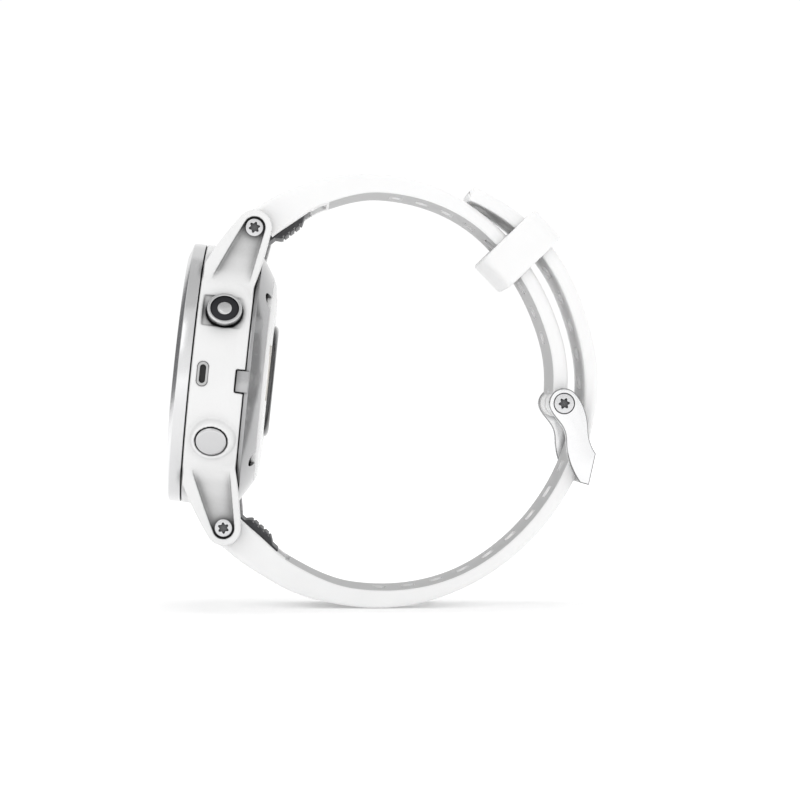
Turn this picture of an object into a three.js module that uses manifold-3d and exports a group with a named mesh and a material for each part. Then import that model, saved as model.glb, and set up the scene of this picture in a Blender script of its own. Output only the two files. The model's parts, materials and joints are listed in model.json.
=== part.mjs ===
// GPS running watch: a round steel and white polymer case with five push buttons, held on a fastened
// white silicone band with quick-release ends, a sliding keeper and a pin buckle.
// Units are millimetres, +Z is up. The watch stands on the lowest point of its band, with the display
// facing -X and the buckle at +X. The origin is the centre of the bottom of the object's box.
import * as THREE from 'three';
import { mergeVertices } from 'three/addons/utils/BufferGeometryUtils.js';
import Module from 'manifold-3d';

const wasm = await Module();
wasm.setup();

// ---------------------------------------------------------------- driving dimensions
const CASE_LEAN = THREE.MathUtils.degToRad(5.9);   // the top of the case leans towards the buckle
const CASE_RADIUS = 21;
const CASE_DEPTH = 8.5;              // white middle case, from the bezel seam to the back edge
const BORE_RADIUS = 17.6;            // inside of the middle case
const BEZEL_FRONT = -2.7;            // front edge of the bezel, ahead of the seam
const LENS_RADIUS = 16.55;
const COVER_RADIUS = 20;
const WINDOW_RADIUS = 9.1;
const WINDOW_FACE = 13;              // skin side of the sensor window, behind the seam
const DOCK = { y: -12.8, width: 2.6, u: 1.2, height: 8.8 };   // charging dock in the back plate
const CONTACT_PITCH = 2;
const GAP = 0.1;                     // clearance between fitted pieces

const LUG_PIN = { a: 7.5, u: 24 };   // lug pin axis, behind the seam and above the case centre
const LUG_INNER = 10.25;             // half the space between a pair of lugs
const LUG_OUTER = 12.9;
const LUG_END_RADIUS = 2.79;
const PIN_RADIUS = 0.9;
const SCREW_HEAD_RADIUS = 1.43;

const BUTTON_PLANE = 4.3;            // button axes, behind the seam
const BUTTON_ANGLE = THREE.MathUtils.degToRad(29);
const BUTTON_TRAVEL = 0.7;
const STEM_RADIUS = 0.9;

const BAND_WIDTH = 20;
const BAND_EDGE = 0.6;               // rounding along the band's long edges
const HOLE_LENGTH = 2.2;
const HOLE_WIDTH = 5;
const UPPER_HOLES = { first: 24.8, pitch: 4.55, count: 9 };   // measured along the band
const LOWER_HOLES = { first: 28.4, pitch: 4.87, count: 17 };
const HOOK_WIDTH = 15.6;
const LATCH_WIDTH = 12;

const BUCKLE_PIN = { x: 41.6, z: -0.55 };
const BUCKLE_PIN_RADIUS = 0.8;
const BUCKLE_HEAD_RADIUS = 2.4;
const ARM_INNER = 10.45;
const ARM_OUTER = 12.45;
const TANG_WIDTH = 2.4;
const BUCKLE_SWING = 9;              // degrees the frame and tang lift while the band is fastened

const KEEPER = { x: 34.85, z: 24.1, heading: -46.3, along: 6.2 };
const KEEPER_WIDTH = 24.6;
const KEEPER_WALL = 1.9;             // at the band's edges
const KEEPER_RIM = 1.6;              // chamfer of its outer corners

const ROUND = 36;                    // facets round a full turn of the larger pieces
const SMALL_ROUND = 16;

// Plane of the watch's side view, measured from a point near the middle of the loop.
const CASE_CENTRE = { x: -17.63, z: 4.32 };

// ---------------------------------------------------------------- materials
function material(color, roughness, metalness) {
  return new THREE.MeshStandardMaterial({ color, roughness, metalness });
}
const whitePolymer = material(0xf2f2f2, 0.45, 0);
const whiteSilicone = material(0xf6f6f6, 0.6, 0);
const brushedSteel = material(0xc9cacb, 0.3, 1);
const darkSteel = material(0x3b3d40, 0.4, 1);
const glass = material(0x15181b, 0.08, 0);
const blackPlastic = material(0x1b1c1e, 0.5, 0);
const greyPlastic = material(0x47494c, 0.55, 0);
const board = material(0x1f4a36, 0.6, 0);
const goldContact = material(0xcaa75a, 0.3, 1);
const blackRubber = material(0x202020, 0.8, 0);
const copper = material(0xb0703a, 0.4, 1);
const cellWrap = material(0x8d9096, 0.5, 0.2);

// ---------------------------------------------------------------- solids
const watch = new THREE.Group();

// A closed mesh as a manifold solid with its faces pointing out.
function solidOf(geometry) {
  const bare = geometry.clone();
  bare.deleteAttribute('normal');
  bare.deleteAttribute('uv');
  const merged = mergeVertices(bare, 1e-4);
  const place = merged.attributes.position.array;
  const corners = [];
  let volume = 0;
  for (let i = 0; i < merged.index.count; i += 3) {
    const [a, b, c] = [0, 1, 2].map((k) => merged.index.getX(i + k));
    if (a === b || b === c || c === a) continue;
    corners.push(a, b, c);
    const [p, q, r] = [a, b, c].map((k) => new THREE.Vector3().fromArray(place, k * 3));
    volume += p.dot(q.cross(r));
  }
  if (volume < 0) corners.reverse();
  const mesh = new wasm.Mesh({
    numProp: 3,
    vertProperties: new Float32Array(place),
    triVerts: new Uint32Array(corners),
  });
  return new wasm.Manifold(mesh);
}

function geometryOf(solid) {
  const mesh = solid.getMesh();
  const geometry = new THREE.BufferGeometry();
  geometry.setAttribute('position', new THREE.BufferAttribute(mesh.vertProperties.slice(), 3));
  geometry.setIndex(new THREE.BufferAttribute(mesh.triVerts.slice(), 1));
  geometry.computeVertexNormals();
  return geometry;
}

function join(first, ...others) {
  return others.reduce((sum, next) => sum.add(next), first);
}

function cut(first, ...others) {
  return others.reduce((rest, next) => rest.subtract(next), first);
}

function add(name, solid, look, parent = watch) {
  const mesh = new THREE.Mesh(geometryOf(solid), look);
  mesh.name = name;
  parent.add(mesh);
  return mesh;
}

// A profile of [radius, place along +X] points turned about the X axis.
function turned(profile, segments = ROUND) {
  const points = profile.map(([radius, along]) => new THREE.Vector2(radius, along));
  return solidOf(new THREE.LatheGeometry(points, segments).rotateZ(-Math.PI / 2));
}

function closedRing(profile, segments = ROUND) {
  return turned([...profile, profile[0]], segments);
}

// A cylinder along +X from one place to another, with its axis at (y, z).
function rod(radius, from, to, y = 0, z = 0, segments = SMALL_ROUND) {
  const geometry = new THREE.CylinderGeometry(radius, radius, to - from, segments);
  geometry.rotateZ(-Math.PI / 2).translate((from + to) / 2, y, z);
  return solidOf(geometry);
}

// A cylinder along +Y from one place to another, with its axis at (x, z).
function crossRod(radius, from, to, x = 0, z = 0, segments = SMALL_ROUND) {
  const geometry = new THREE.CylinderGeometry(radius, radius, to - from, segments);
  return solidOf(geometry.translate(x, (from + to) / 2, z));
}

function block(x, y, z) {
  const geometry = new THREE.BoxGeometry(x[1] - x[0], y[1] - y[0], z[1] - z[0]);
  geometry.translate((x[0] + x[1]) / 2, (y[0] + y[1]) / 2, (z[0] + z[1]) / 2);
  return solidOf(geometry);
}

// An outline in the XZ plane, extruded along Y between two places, with rounded edges if asked.
function slab(shape, from, to, edge = 0, curveSegments = 8) {
  const geometry = new THREE.ExtrudeGeometry(shape, {
    depth: to - from - 2 * edge,
    bevelEnabled: edge > 0,
    bevelThickness: edge,
    bevelSize: edge,
    bevelOffset: -edge,
    bevelSegments: 1,
    curveSegments,
  });
  geometry.translate(0, 0, -to + edge).rotateX(Math.PI / 2);
  return solidOf(geometry);
}

function outline(points) {
  return new THREE.Shape(points.map(([x, z]) => new THREE.Vector2(x, z)));
}

function circle(x, z, radius, segments) {
  const turns = Array.from({ length: segments }, (_, i) => (2 * Math.PI * i) / segments);
  return outline(turns.map((turn) => [x + radius * Math.cos(turn), z + radius * Math.sin(turn)]));
}

function mirrored(solid, y, z) {
  return solidOf(geometryOf(solid).scale(1, y, z));
}

function hexagon(radius, from, to, x = 0, z = 0) {
  return crossRod(radius, from, to, x, z, 6);
}

// ---------------------------------------------------------------- case
const watchCase = new THREE.Group();
watchCase.position.set(CASE_CENTRE.x, 0, CASE_CENTRE.z);
watchCase.rotation.y = CASE_LEAN;
watch.add(watchCase);

// One upper, far-side lug: a tapering blade seen from the side, flared into the case seen from behind.
function lugBlade() {
  const side = new THREE.Shape();
  side.moveTo(0.3, 12);
  side.lineTo(0.3, 17.5);
  side.quadraticCurveTo(2.2, 21.6, 5.15, 25.5);
  side.absarc(LUG_PIN.a, LUG_PIN.u, LUG_END_RADIUS, 2.57, 0, true);
  side.quadraticCurveTo(9.7, 19.5, 8.4, 14.2);
  side.lineTo(8.4, 12);
  const flare = [[12, LUG_INNER], [28, LUG_INNER], [28, LUG_OUTER], [21.5, LUG_OUTER],
    [18.5, 13.6], [14, 15.6], [12, 16.4]];
  return slab(side, LUG_INNER - 1, 18, 0, 6).intersect(acrossCase(flare, -1, 12));
}

// An outline of [u, y] points extruded along the case axis.
function acrossCase(points, from, to) {
  const shape = new THREE.Shape(points.map(([u, y]) => new THREE.Vector2(y, u)));
  const geometry = new THREE.ExtrudeGeometry(shape, { depth: to - from, bevelEnabled: false });
  geometry.translate(0, 0, from);
  geometry.applyMatrix4(new THREE.Matrix4().set(0, 0, 1, 0, 1, 0, 0, 0, 0, 1, 0, 0, 0, 0, 0, 1));
  return solidOf(geometry);
}

// The triangular relief in a lug's outer face, whose floor runs out at the case.
function lugRelief() {
  const side = new THREE.Shape();
  side.moveTo(1.5, 14.6);
  side.quadraticCurveTo(3.6, 19.6, 6.2, 23.1);
  side.lineTo(8.6, 22.6);
  side.quadraticCurveTo(8.3, 18.4, 7.2, 14.6);
  side.closePath();
  const floor = [[14.4, 15.3], [18.5, 12.7], [23.5, 11.8], [23.5, 20], [14.4, 20]];
  return slab(side, LUG_INNER, 19, 0, 6).intersect(acrossCase(floor, -1, 12));
}

function lugScrewSpace() {
  const head = crossRod(SCREW_HEAD_RADIUS + 0.15, 11.7, 14, LUG_PIN.a, LUG_PIN.u);
  const shank = crossRod(0.75, 9, 14, LUG_PIN.a, LUG_PIN.u, 12);
  return head.add(shank);
}

// Turns a solid made along +Y at the button plane to one of the button directions.
// The angle runs from +Y towards 12 o'clock on the far side, and side -1 is the near side.
function towardsButton(solid, angle, side) {
  const geometry = geometryOf(solid);
  geometry.rotateX(angle);
  geometry.scale(1, side, 1);
  return solidOf(geometry);
}

function buttonRod(radius, from, to, segments = SMALL_ROUND) {
  return crossRod(radius, from, to, BUTTON_PLANE, 0, segments);
}

const buttons = [
  { name: 'start', angle: BUTTON_ANGLE, side: -1, cap: 2.75, face: 21.9, collar: 0 },
  { name: 'back', angle: -BUTTON_ANGLE, side: -1, cap: 2.44, face: 22.0, collar: 3.6 },
  { name: 'light', angle: BUTTON_ANGLE, side: 1, cap: 2.44, face: 22.0, collar: 3.6 },
  { name: 'up', angle: 0, side: 1, cap: 2.44, face: 22.0, collar: 3.6 },
  { name: 'down', angle: -BUTTON_ANGLE, side: 1, cap: 2.44, face: 22.0, collar: 3.6 },
];
const CAP_SEAT = 19.7;               // floor of each button well, from the case axis
const COLLAR_FACE = 21.3;
const START_FLAT = 20.55;            // the start button sits in a flat instead of a raised collar

function buildMiddleCase() {
  const wall = closedRing([
    [BORE_RADIUS, 0.05], [CASE_RADIUS - 0.25, 0.05], [CASE_RADIUS, 0.35], [CASE_RADIUS, 5.6],
    [20.75, 7.4], [20.15, CASE_DEPTH], [18.9, CASE_DEPTH], [18.9, 7.95], [18.1, 7.95],
    [18.1, CASE_DEPTH], [15.4, CASE_DEPTH], [15.4, 7.2], [BORE_RADIUS, 7.2],
  ]);
  const bore = rod(BORE_RADIUS, -3, 7.2, 0, 0, ROUND);
  const innerBore = rod(15.4, 7, 12, 0, 0, ROUND);
  const coverSpace = rod(COVER_RADIUS + 0.15, CASE_DEPTH, 12, 0, 0, ROUND);
  const gasketGroove = closedRing([[18.1, 7.95], [18.9, 7.95], [18.9, 12], [18.1, 12]]);
  const lug = cut(lugBlade(), bore, innerBore, coverSpace, gasketGroove);
  const relief = lugRelief().add(lugScrewSpace());
  let body = wall;
  for (const [y, z] of [[1, 1], [-1, 1], [1, -1], [-1, -1]]) {
    body = body.add(mirrored(lug, y, z));
  }
  for (const { angle, side, collar } of buttons) {
    if (collar === 0) {
      const flat = block([BUTTON_PLANE - 3.4, BUTTON_PLANE + 3.3], [START_FLAT, 24], [-2.75, 2.75]);
      body = body.subtract(towardsButton(flat, angle, side));
      continue;
    }
    body = body.add(towardsButton(cut(buttonRod(collar, 18.5, COLLAR_FACE), bore), angle, side));
  }
  for (const [y, z] of [[1, 1], [-1, 1], [1, -1], [-1, -1]]) {
    body = body.subtract(mirrored(relief, y, z));
  }
  for (const { angle, side, cap } of buttons) {
    const well = buttonRod(cap + 0.15, CAP_SEAT, 26).add(buttonRod(STEM_RADIUS + GAP, 15, 26, 12));
    const sealGroove = buttonRod(1.75, 18.3, 19.1);
    body = cut(body, towardsButton(well.add(sealGroove), angle, side));
  }
  for (const [y, u] of coverScrewPlaces()) {
    body = body.subtract(rod(0.55, 7, 9, y, u, 12));
  }
  return cut(body, portSpace(GAP, -22, -19.2), coverTabSpace());
}

function coverScrewPlaces() {
  const radius = 16.75;
  const height = 12.4;
  const width = Math.sqrt(radius ** 2 - height ** 2);
  return [[width, height], [-width, height], [width, -height], [-width, -height]];
}

// The oval pressure port in the near side of the case.
const PORT = { a: 1.95, width: 1.7, height: 3.8 };
function portSpace(margin, from, to) {
  const radius = PORT.width / 2 + margin - GAP;
  const half = PORT.height / 2 + margin - GAP - radius;
  const shape = new THREE.Shape();
  shape.absarc(PORT.a, half, radius, 0, Math.PI);
  shape.absarc(PORT.a, -half, radius, Math.PI, 2 * Math.PI);
  return slab(shape, from, to, 0, 6);
}

function coverTabSpace() {
  return block([7.05, 9], [-22, -19.15], [-2.45, 1.25]);
}

function buildCase() {
  add('case_middle', buildMiddleCase(), whitePolymer, watchCase);
  add('bezel', closedRing([
    [CASE_RADIUS, -0.08], [CASE_RADIUS, -1.95], [19, BEZEL_FRONT], [17.3, -2.55], [16.75, -2.3],
    [16.75, -0.9], [17.9, -0.9], [17.9, -0.08],
  ]), brushedSteel, watchCase);
  add('display_lens', turned([
    [0, -2.25], [LENS_RADIUS - 0.3, -2.25], [LENS_RADIUS, -1.95], [LENS_RADIUS, -1], [0, -1],
  ]), glass, watchCase);
  add('chapter_ring', closedRing([
    [15.1, -0.85], [17.45, -0.85], [17.45, 0.6], [15.1, 0.6],
  ]), blackPlastic, watchCase);
  add('display_module', turned([[0, -0.85], [14.95, -0.85], [14.95, 0.6], [0, 0.6]]), blackPlastic,
    watchCase);
  add('main_board', turned([[0, 0.9], [17.3, 0.9], [17.3, 1.7], [0, 1.7]]), board, watchCase);
  add('antenna_ring', closedRing([
    [16.6, 1.85], [17.4, 1.85], [17.4, 3.1], [16.6, 3.1],
  ]), copper, watchCase);
  const cellShape = outline([[-10, -5.5], [10, -5.5], [10, 9], [7.5, 11.5], [-7.5, 11.5], [-10, 9]]);
  const cell = new THREE.ExtrudeGeometry(cellShape, { depth: 4.6, bevelEnabled: false });
  cell.rotateY(Math.PI / 2).rotateX(Math.PI / 2).translate(2, 0, 0);
  add('battery', solidOf(cell), cellWrap, watchCase);
  add('vibration_motor', rod(4, 2, 4.8, 0, -10.8), darkSteel, watchCase);
}

function buildBack() {
  const heads = coverScrewPlaces().map(([y, u]) => rod(1.45, 9.2, 14, y, u, 16));
  const shanks = coverScrewPlaces().map(([y, u]) => rod(0.75, 8, 14, y, u, 12));
  const shell = closedRing([
    [COVER_RADIUS, 8.65], [COVER_RADIUS, 9.3], [18.3, 10.35], [16.55, 11.4], [16.55, 10.5],
    [14.6, 10.5], [14.6, 8.65],
  ]);
  const tab = block([7.2, 9.3], [-20.2, -19.4], [-2.3, 1.1]);
  const cover = join(shell, tab);
  add('rear_cover', cut(cover, ...heads, ...shanks), brushedSteel, watchCase);
  coverScrewPlaces().forEach(([y, u], i) => {
    const head = rod(1.3, 9.3, 10.4, y, u, 16).add(rod(0.4, 7.4, 9.4, y, u, 12));
    add(`rear_cover_screw_${i + 1}`, cut(head, rod(0.6, 9.9, 11, y, u, 6)), darkSteel, watchCase);
  });
  add('back_gasket', closedRing([
    [18.25, 8.02], [18.75, 8.02], [18.75, 8.55], [18.25, 8.55],
  ]), blackRubber, watchCase);
  const plate = closedRing([
    [16.45, 10.6], [16.45, 11.35], [15.4, 11.8], [12.9, 12.2], [WINDOW_RADIUS + 0.15, 12.2],
    [WINDOW_RADIUS + 0.15, 10.6],
  ]);
  add('back_plate', cut(plate, dockBlock(11.2, 13, 0)), whitePolymer, watchCase);
  add('sensor_window', turned([
    [0, 11.6], [8.1, 11.6], [8.1, 10.9], [WINDOW_RADIUS, 10.9], [WINDOW_RADIUS, 12.45],
    [8.3, WINDOW_FACE], [0, WINDOW_FACE],
  ]), glass, watchCase);
  const carrier = turned([[0, 9.7], [8, 9.7], [8, 10.5], [0, 10.5]], 32);
  const lights = [0, 1, 2].map((i) => {
    const turn = Math.PI / 2 + (i * 2 * Math.PI) / 3;
    return rod(1, 10.3, 11.3, 3.4 * Math.cos(turn), 3.4 * Math.sin(turn), 12);
  });
  const eye = block([10.3, 11.3], [-1.2, 1.2], [-1.2, 1.2]);
  add('sensor_board', join(carrier, eye, ...lights), board, watchCase);
  const contacts = [-1.5, -0.5, 0.5, 1.5].map((step) => (
    rod(0.45, 11.6, 11.95, DOCK.y, DOCK.u + step * CONTACT_PITCH, 12)
  ));
  add('charge_contacts', join(dockBlock(11.3, 11.7, GAP), ...contacts), goldContact, watchCase);
}

// A block between two places along the case axis that fills the charging dock, less a margin all round.
function dockBlock(from, to, margin) {
  const halfWidth = DOCK.width / 2 - margin;
  const halfHeight = DOCK.height / 2 - margin;
  return block([from, to], [DOCK.y - halfWidth, DOCK.y + halfWidth],
    [DOCK.u - halfHeight, DOCK.u + halfHeight]);
}

function buildPort() {
  const frame = portSpace(0, -20.95, -19.4);
  const slot = block([PORT.a - 0.5, PORT.a + 0.5], [-22, -20], [-1.45, 1.45]);
  add('pressure_port', cut(frame, slot), greyPlastic, watchCase);
}

function buildLugHardware() {
  for (const [place, z] of [['upper', 1], ['lower', -1]]) {
    const pinSolid = cut(
      crossRod(PIN_RADIUS, -10.15, 10.15, LUG_PIN.a, LUG_PIN.u),
      crossRod(0.6, -11, -7.5, LUG_PIN.a, LUG_PIN.u, 12),
      crossRod(0.6, 7.5, 11, LUG_PIN.a, LUG_PIN.u, 12),
    );
    add(`lug_pin_${place}`, mirrored(pinSolid, 1, z), brushedSteel, watchCase);
    for (const [side, y] of [['near', -1], ['far', 1]]) {
      const head = crossRod(SCREW_HEAD_RADIUS, 11.8, 12.75, LUG_PIN.a, LUG_PIN.u);
      const shank = crossRod(0.5, 8, 11.9, LUG_PIN.a, LUG_PIN.u, 12);
      const drive = hexagon(0.75, 12.2, 13, LUG_PIN.a, LUG_PIN.u);
      const screw = cut(head.add(shank), drive);
      add(`lug_screw_${place}_${side}`, mirrored(screw, y, z), brushedSteel, watchCase);
    }
  }
}

function buildButtons() {
  for (const { name, angle, side, cap, face } of buttons) {
    const capStart = CAP_SEAT + BUTTON_TRAVEL + GAP;
    const isStart = name === 'start';
    let piece = buttonRod(cap, capStart, face).add(buttonRod(STEM_RADIUS, 16.9, face - 0.5, 12));
    if (isStart) piece = piece.subtract(buttonRod(2.3, face - 0.6, face + 1));
    add(`${name}_button`, towardsButton(piece, angle, side), brushedSteel, watchCase);
    if (isStart) {
      const inlay = buttonRod(2.2, face - 0.5, face - 0.05).add(buttonRod(1.1, face - 0.3, face + 0.1));
      add('start_button_inlay', towardsButton(inlay, angle, side), darkSteel, watchCase);
    }
    const ring = new THREE.TorusGeometry(1.32, 0.28, 5, 12);
    ring.rotateX(Math.PI / 2).translate(BUTTON_PLANE, 18.7, 0);
    add(`${name}_button_seal`, towardsButton(solidOf(ring), angle, side), blackRubber, watchCase);
    const body = block([BUTTON_PLANE - 1.5, BUTTON_PLANE + 1.5], [14.4, 15.6], [-1.5, 1.5]);
    const dome = buttonRod(0.7, 15.5, 16.05, 12);
    add(`${name}_button_switch`, towardsButton(body.add(dome), angle, side), blackPlastic, watchCase);
  }
}

// ---------------------------------------------------------------- band
// A chain of arcs in the XZ plane. Each arc is [radius, degrees]; a positive turn bends to the left.
function bandPath(start, heading, arcs, step = 2.5) {
  const points = [];
  let { x, z } = start;
  let angle = THREE.MathUtils.degToRad(heading);
  let length = 0;
  points.push({ x, z, angle, s: 0 });
  for (const [radius, degrees] of arcs) {
    const turn = THREE.MathUtils.degToRad(degrees);
    const arcLength = Math.abs(turn) * radius;
    const count = Math.ceil(arcLength / step);
    const piece = arcLength / count;
    for (let i = 0; i < count; i += 1) {
      const middle = angle + turn / count / 2;
      x += piece * Math.cos(middle);
      z += piece * Math.sin(middle);
      angle += turn / count;
      length += piece;
      points.push({ x, z, angle, s: length });
    }
  }
  return points;
}

function thicknessAt(stations, s) {
  for (let i = 1; i < stations.length; i += 1) {
    const [s0, t0] = stations[i - 1];
    const [s1, t1] = stations[i];
    if (s <= s1) return THREE.MathUtils.lerp(t0, t1, (s - s0) / (s1 - s0));
  }
  return stations[stations.length - 1][1];
}

// The point at a distance along a path, moved off it to the outer side of the loop.
function alongBand(band, s, off = 0) {
  const { path } = band;
  let i = path.findIndex((p) => p.s > s);
  if (i < 0) i = path.length - 1;
  const [p, q] = [path[i - 1], path[i]];
  const blend = (s - p.s) / (q.s - p.s);
  const angle = THREE.MathUtils.lerp(p.angle, q.angle, blend);
  return {
    x: THREE.MathUtils.lerp(p.x, q.x, blend) - off * band.side * Math.sin(angle),
    z: THREE.MathUtils.lerp(p.z, q.z, blend) + off * band.side * Math.cos(angle),
    angle,
  };
}

function caseToSide(a, u) {
  return {
    x: CASE_CENTRE.x + a * Math.cos(CASE_LEAN) + u * Math.sin(CASE_LEAN),
    z: CASE_CENTRE.z - a * Math.sin(CASE_LEAN) + u * Math.cos(CASE_LEAN),
  };
}

const upperBand = {
  side: 1,
  heading: 37,
  start: caseToSide(LUG_PIN.a, LUG_PIN.u),
  arcs: [[48, -10], [26, -34.5], [28.5, -44], [40, -23], [24, -18], [60, -3]],
  thickness: [[0, 5.5], [4, 5.3], [12, 4.2], [22, 3.1], [40, 2.4], [90, 2.6]],
};
const lowerBand = {
  side: -1,
  heading: -42,
  start: caseToSide(LUG_PIN.a, -LUG_PIN.u),
  arcs: [[110, 4.2], [30.5, 30.1], [31.6, 39.9], [36.5, 52.5], [26.2, 15.6], [46, 12.7], [29.8, 45]],
  thickness: [[0, 5.5], [4, 5.3], [12, 4.3], [24, 3.1], [45, 2.3], [90, 2.3], [130, 2.4]],
};
for (const band of [upperBand, lowerBand]) {
  band.path = bandPath(band.start, band.heading, band.arcs);
  band.length = band.path[band.path.length - 1].s;
}

function bandOutline(band, from, to) {
  const places = [from, ...band.path.map((p) => p.s).filter((s) => s > from + 1 && s < to - 1), to];
  const outer = places.map((s) => alongBand(band, s, thicknessAt(band.thickness, s) / 2));
  const inner = places.map((s) => alongBand(band, s, -thicknessAt(band.thickness, s) / 2)).reverse();
  return new THREE.Shape([...outer, ...inner].map(({ x, z }) => new THREE.Vector2(x, z)));
}

function bandBody(band, from, to) {
  const half = BAND_WIDTH / 2;
  const strip = slab(bandOutline(band, from, to), -half, half, BAND_EDGE);
  const eye = circle(band.start.x, band.start.z, 2.75, 24);
  return strip.add(slab(eye, -half, half, BAND_EDGE));
}

// Moves a solid made at the lug pin, with +X along the band and +Z to the outside, to its place.
function atBandEnd(band, solid) {
  const geometry = geometryOf(solid).scale(1, 1, band.side);
  geometry.rotateY(-THREE.MathUtils.degToRad(band.heading)).translate(band.start.x, 0, band.start.z);
  return solidOf(geometry);
}

function bandHole(band, s) {
  const { x, z, angle } = alongBand(band, s);
  const geometry = new THREE.BoxGeometry(HOLE_LENGTH, HOLE_WIDTH, 8);
  geometry.rotateY(-angle).translate(x, 0, z);
  return solidOf(geometry);
}

function bandHoles(band, { first, pitch, count }) {
  return Array.from({ length: count }, (_, i) => bandHole(band, first + i * pitch));
}

function bandEndSpace() {
  const hook = HOOK_WIDTH / 2 + GAP;
  const latch = LATCH_WIDTH / 2 + GAP;
  return join(
    crossRod(2.15, -hook, hook),
    crossRod(PIN_RADIUS + GAP, -11, 11),
    block([-PIN_RADIUS - GAP, PIN_RADIUS + GAP], [-11, 11], [-6, 0]),
    block([-4, 9], [-hook, hook], [-6, -0.8]),
    block([-4, 11.6], [-latch, latch], [-6, -2.05]),
  );
}

function buildBandEnd(band, place) {
  const half = HOOK_WIDTH / 2;
  const hook = cut(
    crossRod(2, -half, half).add(block([0.5, 8.8], [-half, half], [-1.9, -0.95])),
    crossRod(PIN_RADIUS + GAP, -11, 11),
    block([-PIN_RADIUS - GAP, PIN_RADIUS + GAP], [-11, 11], [-4, 0]),
  );
  add(`${place}_end_hook`, atBandEnd(band, hook), greyPlastic);
  const width = LATCH_WIDTH / 2;
  const latch = join(
    block([-1, 9], [-width, width], [-2.9, -2.15]),
    slab(outline([[1.4, -2.5], [2.6, -3.8], [6.6, -3.8], [8.4, -2.5]]), -width, width),
  );
  const ribs = [3, 4.1, 5.2, 6.3].map((x) => block([x - 0.2, x + 0.2], [-9, 9], [-5, -3.55]));
  add(`${place}_latch`, atBandEnd(band, cut(latch, ...ribs)), greyPlastic);
}

function buildBands() {
  const pin = new THREE.Vector2(BUCKLE_PIN.x, BUCKLE_PIN.z);
  const loop = circle(pin.x, pin.y, 2.1, 20);
  const upper = cut(
    bandBody(upperBand, 1, upperBand.length).add(slab(loop, -BAND_WIDTH / 2, BAND_WIDTH / 2, 0.4)),
    atBandEnd(upperBand, bandEndSpace()),
    crossRod(BUCKLE_PIN_RADIUS + GAP, -11, 11, pin.x, pin.y),
    block([pin.x - 3.2, pin.x + 4], [-1.6, 1.6], [pin.y - 4, pin.y + 2.2]),
    ...bandHoles(upperBand, UPPER_HOLES),
  );
  add('upper_band', upper, whiteSilicone);
  const lower = cut(
    bandBody(lowerBand, 1, lowerBand.length),
    atBandEnd(lowerBand, bandEndSpace()),
    ...bandHoles(lowerBand, LOWER_HOLES),
    ...[0, 0.5, 1].map((part) => tangSpace(part * BUCKLE_SWING)),
  );
  add('lower_band', lower, whiteSilicone);
  buildBandEnd(upperBand, 'upper');
  buildBandEnd(lowerBand, 'lower');
}

// ---------------------------------------------------------------- keeper
function buildKeeper() {
  const half = KEEPER_WIDTH / 2;
  const { along, heading, x, z } = KEEPER;
  const outside = [-6, 6];
  const opening = [-4.2, 4.5];
  const rim = KEEPER_RIM;
  const shape = outline([
    [-half + rim, outside[0]], [half - rim, outside[0]], [half, outside[0] + rim],
    [half, outside[1] - rim], [half - rim, outside[1]], [-half + rim, outside[1]],
    [-half, outside[1] - rim], [-half, outside[0] + rim],
  ]);
  const tube = new THREE.ExtrudeGeometry(shape, { depth: along, bevelEnabled: false });
  tube.translate(0, 0, -along / 2).rotateX(Math.PI / 2).rotateZ(Math.PI / 2);
  const inner = half - KEEPER_WALL;
  const loop = cut(solidOf(tube), block([-along, along], [-inner, inner], opening));
  const geometry = geometryOf(loop).rotateY(-THREE.MathUtils.degToRad(heading)).translate(x, 0, z);
  add('keeper', solidOf(geometry), whiteSilicone);
}

// ---------------------------------------------------------------- buckle
function atBucklePin(solid, swing = 0) {
  const geometry = geometryOf(solid).rotateY(-THREE.MathUtils.degToRad(swing));
  return solidOf(geometry.translate(BUCKLE_PIN.x, 0, BUCKLE_PIN.z));
}

function buckleArm() {
  const shape = new THREE.Shape();
  shape.moveTo(1.75, 1.64);
  shape.bezierCurveTo(3.2, 0.1, 3.8, -2.2, 3.82, -4.3);
  shape.quadraticCurveTo(3.9, -6.3, 5.05, -8);
  shape.lineTo(3.95, -13);
  shape.lineTo(2.5, -12.6);
  shape.bezierCurveTo(0.9, -10.3, 0.35, -8, 0.32, -6);
  shape.bezierCurveTo(0.3, -3.6, -0.9, -3.1, -2, -1.33);
  shape.absarc(0, 0, BUCKLE_HEAD_RADIUS, 3.73, 0.76, true);
  return slab(shape, ARM_INNER, ARM_OUTER, 0.25, 6);
}

function tangShape(margin) {
  const half = TANG_WIDTH / 2 + margin;
  const tongue = outline([
    [-0.1 - margin, -0.9], [1.2 + margin, -0.9], [4.7 + margin, -9.6], [4.4 + margin, -10.9 - margin],
    [3.65 - margin, -10.7 - margin], [3.6 - margin, -9.4],
  ]);
  return slab(tongue, -half, half).add(crossRod(1.6 + margin, -half, half));
}

function tangSpace(swing) {
  return atBucklePin(tangShape(0.25), swing);
}

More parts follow.
